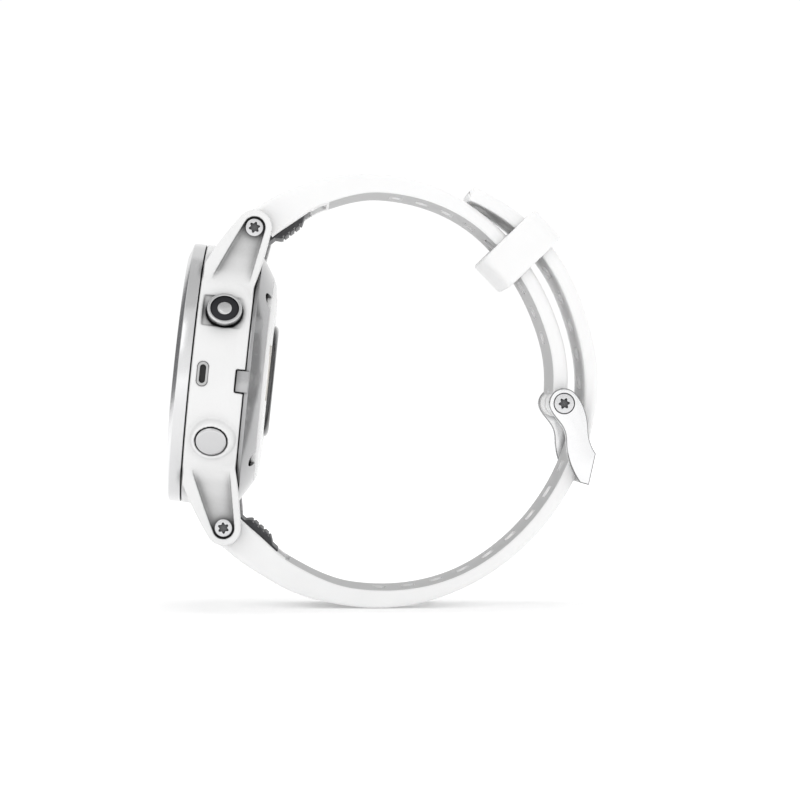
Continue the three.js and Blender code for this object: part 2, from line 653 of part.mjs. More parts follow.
function buildBuckle() {
  const arm = buckleArm();
  const bar = outline([[5.05, -8], [3.95, -13], [3.1, -12.8], [4.2, -7.8]]);
  const half = TANG_WIDTH / 2 + 0.3;
  const frame = cut(
    join(arm, mirrored(arm, -1, 1), slab(bar, -ARM_OUTER + 0.3, ARM_OUTER - 0.3)),
    crossRod(BUCKLE_PIN_RADIUS + GAP, -13, 13),
    crossRod(1.75, 11.55, 13),
    crossRod(1.75, -13, -11.55),
    block([2, 6], [-half, half], [-11.2, -7]),
  );
  add('buckle_frame', atBucklePin(frame), brushedSteel);
  const pin = cut(crossRod(BUCKLE_PIN_RADIUS, -11.4, 11.4), crossRod(0.5, -12, -9, 0, 0, 8),
    crossRod(0.5, 9, 12, 0, 0, 8));
  add('buckle_pin', atBucklePin(pin), brushedSteel);
  for (const [side, y] of [['near', -1], ['far', 1]]) {
    const screw = crossRod(1.6, 11.65, 12.35).add(crossRod(0.4, 9.5, 11.8, 0, 0, 8));
    const drive = hexagon(0.75, 12, 13);
    add(`buckle_screw_${side}`, atBucklePin(mirrored(cut(screw, drive), y, 1)), brushedSteel);
  }
  const tang = cut(tangShape(0), crossRod(BUCKLE_PIN_RADIUS + GAP, -3, 3));
  add('buckle_tang', atBucklePin(tang), brushedSteel);
}

// ---------------------------------------------------------------- build
buildCase();
buildBack();
buildPort();
buildLugHardware();
buildButtons();
buildBands();
buildKeeper();
buildBuckle();

const box = new THREE.Box3().setFromObject(watch);
const middle = box.getCenter(new THREE.Vector3());
watch.position.set(-middle.x, -middle.y, -box.min.z);

export default watch;
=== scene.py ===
"""Looks for the GPS running watch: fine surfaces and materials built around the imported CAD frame.

Shapes are worked out in millimetres in a local frame and placed by a matrix into the row frame.
The case frame has +X from the display to the wrist, +Z to 12 o'clock and its origin on the bezel seam.
"""

import json
import math

import bmesh
import bpy
from mathutils import Matrix, Vector


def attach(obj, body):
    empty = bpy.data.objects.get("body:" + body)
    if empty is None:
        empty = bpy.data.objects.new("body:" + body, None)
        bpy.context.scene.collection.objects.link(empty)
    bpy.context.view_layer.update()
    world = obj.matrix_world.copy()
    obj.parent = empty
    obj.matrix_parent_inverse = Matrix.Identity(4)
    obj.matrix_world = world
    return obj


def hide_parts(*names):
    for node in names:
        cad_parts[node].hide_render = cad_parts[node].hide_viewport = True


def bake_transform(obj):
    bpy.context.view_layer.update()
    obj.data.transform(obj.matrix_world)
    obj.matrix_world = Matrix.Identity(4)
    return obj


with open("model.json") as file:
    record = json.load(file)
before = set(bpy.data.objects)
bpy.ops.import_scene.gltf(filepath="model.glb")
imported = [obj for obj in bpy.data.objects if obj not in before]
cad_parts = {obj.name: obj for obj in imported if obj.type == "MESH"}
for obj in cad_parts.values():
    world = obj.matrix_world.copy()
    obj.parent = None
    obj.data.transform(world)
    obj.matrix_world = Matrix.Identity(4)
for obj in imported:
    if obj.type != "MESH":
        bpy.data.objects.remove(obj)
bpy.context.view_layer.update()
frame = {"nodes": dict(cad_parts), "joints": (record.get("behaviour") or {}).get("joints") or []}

MM = 0.001
JOINTS = {joint["name"]: joint for joint in frame["joints"]}


def joint_point(name):
    """Where a joint is, in millimetres in the row frame."""
    return Vector(JOINTS[name]["pos_m"]) / MM


# ------------------------------------------------------------------ places taken from the frame
UPPER_PIN = joint_point("upper_band_swing")
LOWER_PIN = joint_point("lower_band_swing")
BUCKLE_PIN = joint_point("buckle_lift")
KEEPER_PIVOT = joint_point("keeper_slide")
MIDDLE_Y = UPPER_PIN.y

LUG_A = 7.5                                   # lug pins, behind the bezel seam
LUG_U = (UPPER_PIN - LOWER_PIN).length / 2
TWELVE = (UPPER_PIN - LOWER_PIN).normalized()
TO_WRIST = Vector((TWELVE.z, 0, -TWELVE.x))
CASE_CENTRE = (UPPER_PIN + LOWER_PIN) / 2 - LUG_A * TO_WRIST
LEAN = math.atan2(TWELVE.x, TWELVE.z)

CASE_RADIUS = 21.0
CASE_DEPTH = 8.5
BORE_RADIUS = 17.6
LUG_INNER = 10.25
LUG_OUTER = 12.9
LUG_END_RADIUS = 2.79
BUTTON_A = 4.3
BUTTON_ANGLE = math.radians(29)
SCREW_RECESS = 1.74                           # radius of the hollow round a lug screw
COVER_SCREW_RADIUS = 16.75                    # from the case axis
COVER_SCREW_HEIGHT = 12.4
CORNERS = ((1, 1), (-1, 1), (1, -1), (-1, -1))    # signs of (y, z) for the four lugs and cover screws
PORT_A = 1.95
CAP_WELL = 19.7
BAND_HALF = 10.0
UPPER_BAND_END = 71.4                         # along the band, at the buckle pin
SKIN_SHADE_END = 76.0                          # the tail past the buckle gets no painted shade on its skin side
BUCKLE_SWING = 9                              # degrees
ARM_INNER = 10.45
ARM_OUTER = 12.45
PIN_BORE = 0.9
BAR_DROP = 7.9                                # from the buckle pin down to the top of the crossbar
TANG_SPACE_HALF = 1.5

KEEPER_HEADING = math.radians(-46.3)
KEEPER_REACH = 31                             # from its pivot to the middle of the loop
KEEPER_HALF_WIDTH = 12.3
KEEPER_HALF_LENGTH = 3.1
KEEPER_HALF_DEPTH = 6
KEEPER_OPENING = (-4.2, 4.5)
KEEPER_OPENING_HALF = 10.4


def frame_matrix(origin, angle, flip=1):
    """Local millimetres to row-frame metres: +X turned up by angle, +Z to the outside of the loop."""
    along = Vector((math.cos(angle), 0, math.sin(angle)))
    out = Vector((-math.sin(angle), 0, math.cos(angle))) * flip
    place = Matrix((
        (along.x, 0, out.x, origin.x),
        (0, 1, 0, origin.y),
        (along.z, 0, out.z, origin.z),
        (0, 0, 0, 1),
    ))
    return Matrix.Scale(MM, 4) @ place


CASE = frame_matrix(CASE_CENTRE, -LEAN)
LOOP = frame_matrix(Vector((0, MIDDLE_Y, 0)), 0)
AT_BUCKLE = frame_matrix(BUCKLE_PIN, 0)
UPPER_HEADING = math.radians(37)
LOWER_HEADING = math.radians(-42)
AT_UPPER_END = frame_matrix(UPPER_PIN, UPPER_HEADING)
AT_LOWER_END = frame_matrix(LOWER_PIN, LOWER_HEADING, flip=-1)


# ------------------------------------------------------------------ materials
def new_material(name, color, roughness, metallic=0.0):
    material = bpy.data.materials.new(name)
    material.use_nodes = True
    shader = material.node_tree.nodes["Principled BSDF"]
    shader.inputs["Base Color"].default_value = (*color, 1)
    shader.inputs["Roughness"].default_value = roughness
    shader.inputs["Metallic"].default_value = metallic
    return material, material.node_tree, shader


def noise(tree, scale, detail=3.0, stretch=(1, 1, 1), turn=0.0):
    """Noise in the row frame, with cells of about 1 / scale metres, stretched in a turned frame."""
    nodes, links = tree.nodes, tree.links
    place = nodes.new("ShaderNodeTexCoord")
    mapping = nodes.new("ShaderNodeMapping")
    mapping.vector_type = "TEXTURE"
    mapping.inputs["Rotation"].default_value = (0, turn, 0)
    mapping.inputs["Scale"].default_value = stretch
    texture = nodes.new("ShaderNodeTexNoise")
    texture.inputs["Scale"].default_value = scale
    texture.inputs["Detail"].default_value = detail
    links.new(place.outputs["Object"], mapping.inputs["Vector"])
    links.new(mapping.outputs["Vector"], texture.inputs["Vector"])
    return texture.outputs["Fac"]


def ramp(tree, value, low, high):
    """Maps a 0 to 1 value onto the range low to high."""
    node = tree.nodes.new("ShaderNodeMapRange")
    node.inputs["From Min"].default_value = 0.3
    node.inputs["From Max"].default_value = 0.7
    node.inputs["To Min"].default_value = low
    node.inputs["To Max"].default_value = high
    tree.links.new(value, node.inputs["Value"])
    return node.outputs["Result"]


def bump(tree, shader, height, distance, strength=1.0):
    node = tree.nodes.new("ShaderNodeBump")
    node.inputs["Strength"].default_value = strength
    node.inputs["Distance"].default_value = distance
    tree.links.new(height, node.inputs["Height"])
    tree.links.new(node.outputs["Normal"], shader.inputs["Normal"])


def tint(tree, shader, value, low, high):
    """Colour between two shades by a noise value."""
    mix = tree.nodes.new("ShaderNodeMix")
    mix.data_type = "RGBA"
    mix.inputs["A"].default_value = (*low, 1)
    mix.inputs["B"].default_value = (*high, 1)
    tree.links.new(value, mix.inputs["Factor"])
    tree.links.new(mix.outputs["Result"], shader.inputs["Base Color"])


def paint_cavity_shade(tree, shader, distance, power, darkest, own_shape_only=False):
    """Paints shade into corners and recesses: the colour is multiplied by how open the surface is."""
    nodes, links = tree.nodes, tree.links
    occlusion = nodes.new("ShaderNodeAmbientOcclusion")
    occlusion.samples = 8
    occlusion.inputs["Distance"].default_value = distance
    occlusion.only_local = own_shape_only
    curve = nodes.new("ShaderNodeMath")
    curve.operation = "POWER"
    curve.inputs[1].default_value = power
    links.new(occlusion.outputs["AO"], curve.inputs[0])
    mix = nodes.new("ShaderNodeMix")
    mix.data_type = "RGBA"
    mix.blend_type = "MULTIPLY"
    mix.inputs["Factor"].default_value = 1.0
    source = shader.inputs["Base Color"].links[0].from_socket
    links.new(source, mix.inputs["A"])
    shade = nodes.new("ShaderNodeMix")
    shade.data_type = "RGBA"
    shade.inputs["A"].default_value = (darkest, darkest, darkest * 1.02, 1)
    shade.inputs["B"].default_value = (1, 1, 1, 1)
    links.new(curve.outputs["Value"], shade.inputs["Factor"])
    links.new(shade.outputs["Result"], mix.inputs["B"])
    links.new(mix.outputs["Result"], shader.inputs["Base Color"])


def moulded(name, color, roughness, grain=9000, depth=0.000012, spread=0.02, shade=None):
    """Moulded plastic or silicone: a fine eroded grain, slow changes of gloss, a slight tint change, and
    painted shade in its recesses when shade is given.
    """
    material, tree, shader = new_material(name, color, roughness)
    fine = noise(tree, grain, detail=2)
    slow = noise(tree, 180, detail=4)
    bump(tree, shader, fine, depth, 0.5)
    tree.links.new(ramp(tree, slow, roughness - 0.06, roughness + 0.06), shader.inputs["Roughness"])
    darker = tuple(max(0, part - spread) for part in color)
    tint(tree, shader, ramp(tree, slow, 0, 1), darker, color)
    if shade:
        paint_cavity_shade(tree, shader, *shade)
    return material


def brushed(name, color, roughness, stretch, turn=0.0, depth=0.000004, shade=(0.0012, 2.0, 0.1)):
    """Steel with fine parallel scratches along the stretched direction, and painted shade in its recesses.
    """
    material, tree, shader = new_material(name, color, roughness, 1.0)
    lines = noise(tree, 9000, detail=5, stretch=stretch, turn=turn)
    bump(tree, shader, lines, depth, 0.6)
    tree.links.new(ramp(tree, lines, roughness - 0.07, roughness + 0.09), shader.inputs["Roughness"])
    darker = tuple(part * 0.9 for part in color)
    tint(tree, shader, ramp(tree, lines, 0, 1), darker, color)
    paint_cavity_shade(tree, shader, *shade)
    return material


def glassy(name, color, roughness=0.05):
    material, tree, shader = new_material(name, color, roughness)
    smear = noise(tree, 260, detail=5)
    tree.links.new(ramp(tree, smear, roughness, roughness + 0.05), shader.inputs["Roughness"])
    shader.inputs["Coat Weight"].default_value = 1.0
    shader.inputs["Coat Roughness"].default_value = 0.03
    return material


# The shade arguments paint shade into the recesses of the polymer case and the silicone band.
POLYMER = moulded("white_polymer", (0.83, 0.83, 0.83), 0.38, shade=(0.004, 2.4, 0.08))
SILICONE = moulded("white_silicone", (0.9, 0.9, 0.9), 0.5, grain=6000, depth=0.000015,
                   shade=(0.0008, 1.0, 0.5, True))
SILICONE_SHADER = SILICONE.node_tree.nodes["Principled BSDF"]
SILICONE_SHADER.inputs["Subsurface Weight"].default_value = 0.12
SILICONE_SHADER.inputs["Subsurface Radius"].default_value = (1, 0.95, 0.9)
SILICONE_SHADER.inputs["Subsurface Scale"].default_value = 0.0008
SILICONE_SHADER.inputs["Sheen Weight"].default_value = 0.15
BACK_POLYMER = moulded("white_back_polymer", (0.85, 0.85, 0.85), 0.24, grain=12000, depth=0.000004)
# Skin side: a matt, coarser grain, with its colour painted darker grey for the shade on the band's inner
# face.
SHADED_SKIN_SIDE = moulded("silicone_skin_side_painted_shade", (0.56, 0.56, 0.56), 0.7, grain=2500, depth=0.00004)
HOOK_PLASTIC = moulded("grey_hook_plastic", (0.06, 0.06, 0.065), 0.5)
PORT_PLASTIC = moulded("grey_port_plastic", (0.5, 0.5, 0.5), 0.4)
DARK_PLASTIC = moulded("black_plastic", (0.02, 0.02, 0.02), 0.45)
BEZEL_STEEL = brushed("bezel_steel", (0.78, 0.78, 0.785), 0.2, (0.03, 1, 1), LEAN)
COVER_STEEL = brushed("cover_steel", (0.46, 0.46, 0.465), 0.16, (0.06, 1, 1), LEAN, 0.000002)
BUCKLE_STEEL = brushed("buckle_steel", (0.9, 0.9, 0.905), 0.3, (0.4, 1, 1), 0.2, 0.000003)
# Darker copies of the buckle steel: painted shade for the buckle's rims, the faces below its crossbar and
# the inside of screw drives.
RIM_SHADE_STEEL = brushed("buckle_rim_painted_shade_steel", (0.32, 0.32, 0.325), 0.2, (1, 0.1, 1), 0, 0.000002)
PAINTED_SHADE_STEEL = brushed("painted_shade_steel", (0.2, 0.2, 0.205), 0.24, (1, 0.1, 1), 0, 0.000002)
EDGE_STEEL = brushed("polished_steel", (0.72, 0.72, 0.73), 0.14, (1, 0.1, 1), 0, 0.000001)
SCREW_STEEL = brushed("screw_steel", (0.7, 0.7, 0.71), 0.22, (1, 0.1, 1), 0, 0.000002)
BUTTON_STEEL = brushed("button_steel", (0.66, 0.66, 0.665), 0.22, (1, 1, 0.15), LEAN, 0.000002)
DARK_METAL = brushed("dark_coated_metal", (0.05, 0.05, 0.055), 0.42, (1, 1, 1), 0, 0.000006)
LENS = glassy("display_glass", (0.008, 0.009, 0.011))
SENSOR_GLASS = glassy("sensor_glass", (0.012, 0.012, 0.014), 0.08)
RUBBER = moulded("seal_rubber", (0.02, 0.02, 0.02), 0.7)
BOARD = moulded("circuit_board_resist", (0.03, 0.16, 0.08), 0.4, grain=3000)
COPPER = brushed("antenna_copper", (0.7, 0.36, 0.2), 0.3, (0.1, 1, 1))
GOLD = brushed("contact_gold", (0.86, 0.65, 0.28), 0.22, (1, 1, 1))
FOIL = brushed("battery_foil", (0.55, 0.56, 0.58), 0.35, (1, 0.2, 1))


# ------------------------------------------------------------------ outlines
def rounded(points, radius, steps=4, closed=True):
    """A polygon with each corner replaced by a short curve that starts radius before it."""
    result = []
    count = len(points)
    for i, point in enumerate(points):
        here = Vector(point)
        if not closed and i in (0, count - 1):
            result.append(tuple(here))
            continue
        before = Vector(points[i - 1]) - here
        after = Vector(points[(i + 1) % count]) - here
        reach = min(radius, before.length * 0.45, after.length * 0.45)
        start = here + before.normalized() * reach
        end = here + after.normalized() * reach
        for k in range(steps + 1):
            t = k / steps
            result.append(tuple(start * (1 - t) ** 2 + here * 2 * t * (1 - t) + end * t ** 2))
    return result


def arc(x, z, radius, start, end, steps):
    """Points on an arc between two angles in degrees, both ends included."""
    turns = [math.radians(start + (end - start) * k / steps) for k in range(steps + 1)]
    return [(x + radius * math.cos(turn), z + radius * math.sin(turn)) for turn in turns]


def bezier(p0, p1, p2, p3=None, steps=10):
    """Points on a quadratic or cubic curve, without its first point."""
    result = []
    for k in range(1, steps + 1):
        t = k / steps
        s = 1 - t
        if p3 is None:
            weights = ((p0, s * s), (p1, 2 * s * t), (p2, t * t))
        else:
            weights = ((p0, s ** 3), (p1, 3 * s * s * t), (p2, 3 * s * t * t), (p3, t ** 3))
        result.append((sum(p[0] * w for p, w in weights), sum(p[1] * w for p, w in weights)))
    return result


# ------------------------------------------------------------------ solids
def new_object(name, mesh):
    thing = bpy.data.objects.new(name, mesh)
    bpy.context.scene.collection.objects.link(thing)
    return thing


def mesh_from(name, vertices, faces):
    mesh = bpy.data.meshes.new(name)
    mesh.from_pydata([tuple(v) for v in vertices], [], faces)
    edit = bmesh.new()
    edit.from_mesh(mesh)
    bmesh.ops.remove_doubles(edit, verts=edit.verts, dist=1e-5)
    bmesh.ops.recalc_face_normals(edit, faces=edit.faces)
    edit.to_mesh(mesh)
    edit.free()
    return new_object(name, mesh)


def lathe(name, profile, segments=160, closed=False):
    """A profile of (radius, along) points turned about X. It is closed, or starts and ends on the axis."""
    if closed:
        profile = [*profile, profile[0]]
    rings = []
    vertices = []
    for radius, along in profile:
        if radius < 1e-6:
            rings.append([len(vertices)] * segments)
            vertices.append((along, 0, 0))
            continue
        rings.append(list(range(len(vertices), len(vertices) + segments)))
        for k in range(segments):
            turn = 2 * math.pi * k / segments
            vertices.append((along, radius * math.cos(turn), radius * math.sin(turn)))
    faces = []
    for first, second in zip(rings, rings[1:]):
        for k in range(segments):
            n = (k + 1) % segments
            face = list(dict.fromkeys((first[k], first[n], second[n], second[k])))
            if len(face) > 2:
                faces.append(face)
    return mesh_from(name, vertices, faces)


def prism(name, outline, low, high, edge=0.0, segments=3, axis="Y"):
    """An outline extruded along Y, or along X for (z, y) outlines, with its rim edges rounded."""
    count = len(outline)
    vertices = []
    for level in (low, high):
        for p, q in outline:
            vertices.append((p, level, q) if axis == "Y" else (level, q, p))
    faces = [list(range(count)), list(range(2 * count - 1, count - 1, -1))]
    for k in range(count):
        n = (k + 1) % count
        faces.append([k, n, count + n, count + k])
    thing = mesh_from(name, vertices, faces)
    if edge > 0:
        edit = bmesh.new()
        edit.from_mesh(thing.data)
        rim = [e for e in edit.edges if any(len(f.verts) == count for f in e.link_faces)]
        bmesh.ops.bevel(edit, geom=rim, offset=edge, segments=segments, profile=0.5, affect="EDGES")
        edit.to_mesh(thing.data)
        edit.free()
    return thing


def box(name, x, y, z, edge=0.0, segments=3):
    vertices = [(a, b, c) for a in x for b in y for c in z]
    faces = [(0, 1, 3, 2), (4, 6, 7, 5), (0, 4, 5, 1), (2, 3, 7, 6), (0, 2, 6, 4), (1, 5, 7, 3)]
    thing = mesh_from(name, vertices, faces)
    if edge > 0:
        edit = bmesh.new()
        edit.from_mesh(thing.data)
        bmesh.ops.bevel(edit, geom=edit.edges, offset=edge, segments=segments, profile=0.5,
                        affect="EDGES")
        edit.to_mesh(thing.data)
        edit.free()
    return thing


def rod(name, radius, low, high, x=0.0, z=0.0, edge=0.0, segments=48):
    """A cylinder along Y with rounded rims."""
    profile = [(0, low), (radius, low), (radius, high), (0, high)]
    if edge > 0:
        profile = rounded(profile, edge, closed=False)
    thing = lathe(name, profile, segments)
    turn = Matrix(((0, 1, 0, x), (1, 0, 0, 0), (0, 0, 1, z), (0, 0, 0, 1)))
    thing.data.transform(turn)
    thing.data.flip_normals()
    return thing


def evaluated(thing):
    """Replaces a piece's mesh with what its modifiers make of it."""
    graph = bpy.context.evaluated_depsgraph_get()
    graph.update()
    mesh = bpy.data.meshes.new_from_object(thing.evaluated_get(graph))
    thing.modifiers.clear()
    thing.data = mesh
    return thing


def combine(thing, others, operation="DIFFERENCE", solver="MANIFOLD"):
    """Joins or cuts a piece with others, which are used up."""
    for other in others:
        modifier = thing.modifiers.new("combine", "BOOLEAN")
        modifier.operation = operation
        modifier.solver = solver
        modifier.object = other
        evaluated(thing)
        bpy.data.objects.remove(other)
    return thing


def soften(thing, voxel, rounds, keep):
    """Remeshes a joined solid into one skin and rounds its edges, as a moulded piece has them."""
    remesh = thing.modifiers.new("remesh", "REMESH")
    remesh.mode = "VOXEL"
    remesh.voxel_size = voxel
    smooth = thing.modifiers.new("smooth", "SMOOTH")
    smooth.factor = 0.5
    smooth.iterations = rounds
    thin = thing.modifiers.new("thin", "DECIMATE")
    thin.ratio = keep
    return evaluated(thing)


def mirror_copy(thing, y=1, z=1):
    copy = new_object(thing.name + "_copy", thing.data.copy())
    copy.data.transform(Matrix.Diagonal((1, y, z, 1)))
    if y * z < 0:
        copy.data.flip_normals()
    return copy


def finish_piece(thing, place, material, body, replaced=(), sharp=35, others=()):
    """Places a piece, shades it, ties it to its body and hides the CAD nodes it replaces.

    Faces keep their material index only when there are other materials for it.
    """
    indices = [face.material_index if others else 0 for face in thing.data.polygons]
    thing.data.transform(place)
    if place.determinant() < 0:
        thing.data.flip_normals()
    thing.data.materials.clear()
    for each in (material, *others):
        thing.data.materials.append(each)
    thing.data.polygons.foreach_set("material_index", indices)
    thing.data.polygons.foreach_set("use_smooth", [True] * len(thing.data.polygons))
    if sharp:
        thing.data.set_sharp_from_angle(angle=math.radians(sharp))
    if body:
        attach(thing, body)
    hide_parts(*replaced)
    return thing


# ------------------------------------------------------------------ case
def lug_solid():
    """The upper far lug: a tapering blade from the side, flared into the case from the front."""
    side = [(0.3, 12), (0.3, 17.5)]
    side += bezier((0.3, 17.5), (2.2, 21.6), (5.15, 25.5))
    side += arc(LUG_A, LUG_U, LUG_END_RADIUS, 147.4, 0, 24)
    side += bezier(side[-1], (9.7, 19.5), (8.4, 14.2))
    side += [(8.4, 12)]
    blade = prism("lug", side, LUG_INNER, 18)
    flare = [(12, LUG_INNER), (28, LUG_INNER), (28, LUG_OUTER), (21.5, LUG_OUTER)]
    flare += bezier((21.5, LUG_OUTER), (17.5, 13.2), (12, 16.4))
    return combine(blade, [prism("flare", flare, -1, 12, axis="X")], "INTERSECT", "EXACT")


def lug_relief():
    """The hollow in a lug's outer face: it wraps the screw head and runs out on the case."""
    side = arc(LUG_A, LUG_U, SCREW_RECESS, 145, -15, 20)
    side += bezier(side[-1], (8.2, 18.5), (7.5, 14.3), steps=8)
    side += [(1.3, 14.3)]
    side += bezier((1.3, 14.3), (3.6, 20.2), side[0], steps=8)[:-1]
    blade = prism("relief", side, LUG_INNER, 20)
    floor = [(14.2, 15.55), (15.2, 14.5), (17.5, 12.75), (20.5, 11.75), (28, 11.6), (28, 21), (14.2, 21)]
    return combine(blade, [prism("floor", rounded(floor, 1.0), -1, 12, axis="X")], "INTERSECT", "EXACT")


BUTTONS = {
    "start": {"angle": BUTTON_ANGLE, "side": -1, "cap": 2.75, "face": 21.9},
    "back": {"angle": -BUTTON_ANGLE, "side": -1, "cap": 2.44, "face": 21.95},
    "light": {"angle": BUTTON_ANGLE, "side": 1, "cap": 2.44, "face": 21.95},
    "up": {"angle": 0, "side": 1, "cap": 2.44, "face": 21.95},
    "down": {"angle": -BUTTON_ANGLE, "side": 1, "cap": 2.44, "face": 21.95},
}


def towards_button(thing, button):
    """Turns a solid made along +Y through the button plane to the button's own direction."""
    turn = Matrix.Rotation(button["angle"], 4, "X")
    thing.data.transform(Matrix.Diagonal((1, button["side"], 1, 1)) @ turn)
    if button["side"] < 0:
        thing.data.flip_normals()
    return thing


def button_turned(name, profile, segments=96):
    """A (radius, height from the case axis) profile turned about a button's axis."""
    thing = lathe(name, profile, segments)
    turn = Matrix(((0, 1, 0, BUTTON_A), (1, 0, 0, 0), (0, 0, 1, 0), (0, 0, 0, 1)))
    thing.data.transform(turn)
    thing.data.flip_normals()
    return thing


def oval(radius, half, x, steps=10):
    return arc(x, half, radius, 0, 180, steps) + arc(x, -half, radius, 180, 360, steps)


def build_case():
    wall = lathe("case_body", [
        (BORE_RADIUS, 0.05), (20.85, 0.05), (21, 0.25), (21, 5.4), (20.85, 6.8), (20.5, 7.8),
        (20.2, CASE_DEPTH), (18.9, CASE_DEPTH), (18.9, 7.95), (18.1, 7.95), (18.1, CASE_DEPTH),
        (15.4, CASE_DEPTH), (15.4, 7.2), (BORE_RADIUS, 7.2),
    ], closed=True)
    lug = lug_solid()
    combine(wall, [mirror_copy(lug, y, z) for y, z in CORNERS], "UNION")
    bpy.data.objects.remove(lug)
    for name, button in BUTTONS.items():
        if name == "start":
            continue
        collar = [(0, 18), (3.75, 18), (3.75, 20.6), (3.5, 21.0), (3.05, 21.45), (2.75, 21.55), (0, 21.55)]
        combine(wall, [towards_button(button_turned("collar", collar), button)], "UNION")
    start = BUTTONS["start"]
    pad = box("pad", (0.9, 7.6), (20.55, 24), (-2.75, 2.75))
    cutters = [towards_button(pad, start)]
    relief = lug_relief()
    cutters += [mirror_copy(relief, y, z) for y, z in CORNERS]
    bpy.data.objects.remove(relief)
    for button in BUTTONS.values():
        cap = button["cap"] + 0.13
        well = [(0, 15), (1.0, 15), (1.0, CAP_WELL), (cap, CAP_WELL), (cap, 26), (0, 26)]
        cutters.append(towards_button(button_turned("well", well), button))
    cutters.append(lathe("bore", [(0, -3), (BORE_RADIUS, -3), (BORE_RADIUS, 7.2), (15.4, 7.2), (15.4, 12),
                                  (0, 12)]))
    cutters.append(lathe("cover_space", [(0, 8.5), (20.15, 8.5), (20.15, 12), (0, 12)]))
    cutters.append(prism("port_space", oval(0.85, 1.05, PORT_A), -23, -19.2))
    cutters.append(box("tab_space", (7.05, 9), (-22, -19.15), (-2.45, 1.25)))
    for y, z in CORNERS:
        hole = rod("hole", 0.75, 9, 13, LUG_A, LUG_U, segments=24)
        cutters.append(mirror_copy(hole, y, z))
        bpy.data.objects.remove(hole)
    combine(wall, cutters)
    soften(wall, 0.16, 3, 0.4)
    finish_piece(wall, CASE, POLYMER, "case", ["case_middle"], sharp=0)


def build_bezel():
    profile = [(21, -0.08), (21, -1.95), (19.0, -2.7), (17.3, -2.62), (16.8, -2.35), (16.8, -0.9),
               (17.9, -0.9), (17.9, -0.08)]
    bezel = lathe("bezel_ring", rounded(profile, 0.14, 3), 256, closed=True)
    finish_piece(bezel, CASE, BEZEL_STEEL, "case", ["bezel"], sharp=50)


def build_display():
    profile = [(0, -2.25), (16.55, -2.25), (16.55, -1.0), (0, -1.0)]
    lens = lathe("lens", rounded(profile, 0.25, 4, False), 200)
    finish_piece(lens, CASE, LENS, "case", ["display_lens"])


def screw_recesses():
    """The counterbores and shank holes of the four rear cover screws, along the case axis."""
    width = math.sqrt(COVER_SCREW_RADIUS ** 2 - COVER_SCREW_HEIGHT ** 2)
    holes = []
    for y, u in CORNERS:
        for radius, low in ((1.45, 9.2), (0.75, 8)):
            hole = lathe("screw_hole", [(0, low), (radius, low), (radius, 14), (0, 14)], 48)
            hole.data.transform(Matrix.Translation((0, y * width, u * COVER_SCREW_HEIGHT)))
            holes.append(hole)
    return holes


def build_back():
    cover = lathe("cover_shell", rounded([
        (20, 8.65), (20, 9.25), (18.35, 10.3), (16.6, 11.38), (16.55, 10.5), (14.6, 10.5), (14.6, 8.65),
    ], 0.12, 3), 220, closed=True)
    tab = box("tab", (7.2, 9.2), (-20.25, -19.4), (-2.3, 1.1), 0.12)
    combine(cover, [tab], "UNION")
    combine(cover, screw_recesses())
    finish_piece(cover, CASE, COVER_STEEL, "case", ["rear_cover"], sharp=40)
    plate = lathe("back_shell", rounded([
        (16.45, 10.6), (16.45, 11.42), (15.4, 11.85), (12.9, 12.2), (9.25, 12.2), (9.25, 10.6),
    ], 0.25, 4), 200, closed=True)
    dock = box("dock", (11.2, 13), (-14.1, -11.5), (-3.2, 5.6), 0.1)
    combine(plate, [dock])
    finish_piece(plate, CASE, BACK_POLYMER, "case", ["back_plate"], sharp=40)
    window = lathe("sensor_lens", rounded([
        (0, 11.6), (8.1, 11.6), (8.1, 10.9), (9.1, 10.9), (9.1, 12.5), (8.5, 13), (0, 13),
    ], 0.35, 5, False), 160)
    finish_piece(window, CASE, SENSOR_GLASS, "case", ["sensor_window"])


def build_port():
    frame_ring = prism("port_frame", oval(0.84, 1.04, PORT_A), -21.0, -19.4, 0.1)
    slot = prism("slot", oval(0.5, 0.98, PORT_A), -22, -20.2)
    combine(frame_ring, [slot])
    finish_piece(frame_ring, CASE, PORT_PLASTIC, "case", ["pressure_port"])
    back = prism("port_mesh", oval(0.48, 0.96, PORT_A), -20.3, -20.15)
    finish_piece(back, CASE, DARK_PLASTIC, "case")


# ------------------------------------------------------------------ screws
def hexalobe(outer, inner, x=0.0, z=0.0, turn=0.0):
    """The six-lobed drive of a security screw."""
    points = []
    for k in range(72):
        angle = 2 * math.pi * k / 72
        radius = (outer + inner) / 2 + (outer - inner) / 2 * math.cos(6 * angle)
        points.append((x + radius * math.cos(angle + turn), z + radius * math.sin(angle + turn)))
    return points


def lobed_screw(name, radius, low, high, x, z, turn=0.3):
    """A pan head facing +Y with a six-lobed drive."""
    head = rod(name, radius, low, high, x, z, 0.18)
    drive = prism("drive", hexalobe(0.92, 0.62, x, z, turn), high - 0.45, high + 1)
    combine(head, [drive])
    axis = Vector((x, 0, z))
    # The faces inside the drive take index 1, the painted shade steel.
    for face in head.data.polygons:
        away = Vector((face.center.x, 0, face.center.z)) - axis
        inside = away.length < 0.93 and low + 0.1 < face.center.y < high - 0.02
        face.material_index = 1 if inside else 0
    return head


def place_screw(name, screw, place, y, z, body, replaced):
    piece = mirror_copy(screw, y, z)
    piece.name = name
    finish_piece(piece, place, SCREW_STEEL, body, [replaced], others=[PAINTED_SHADE_STEEL])


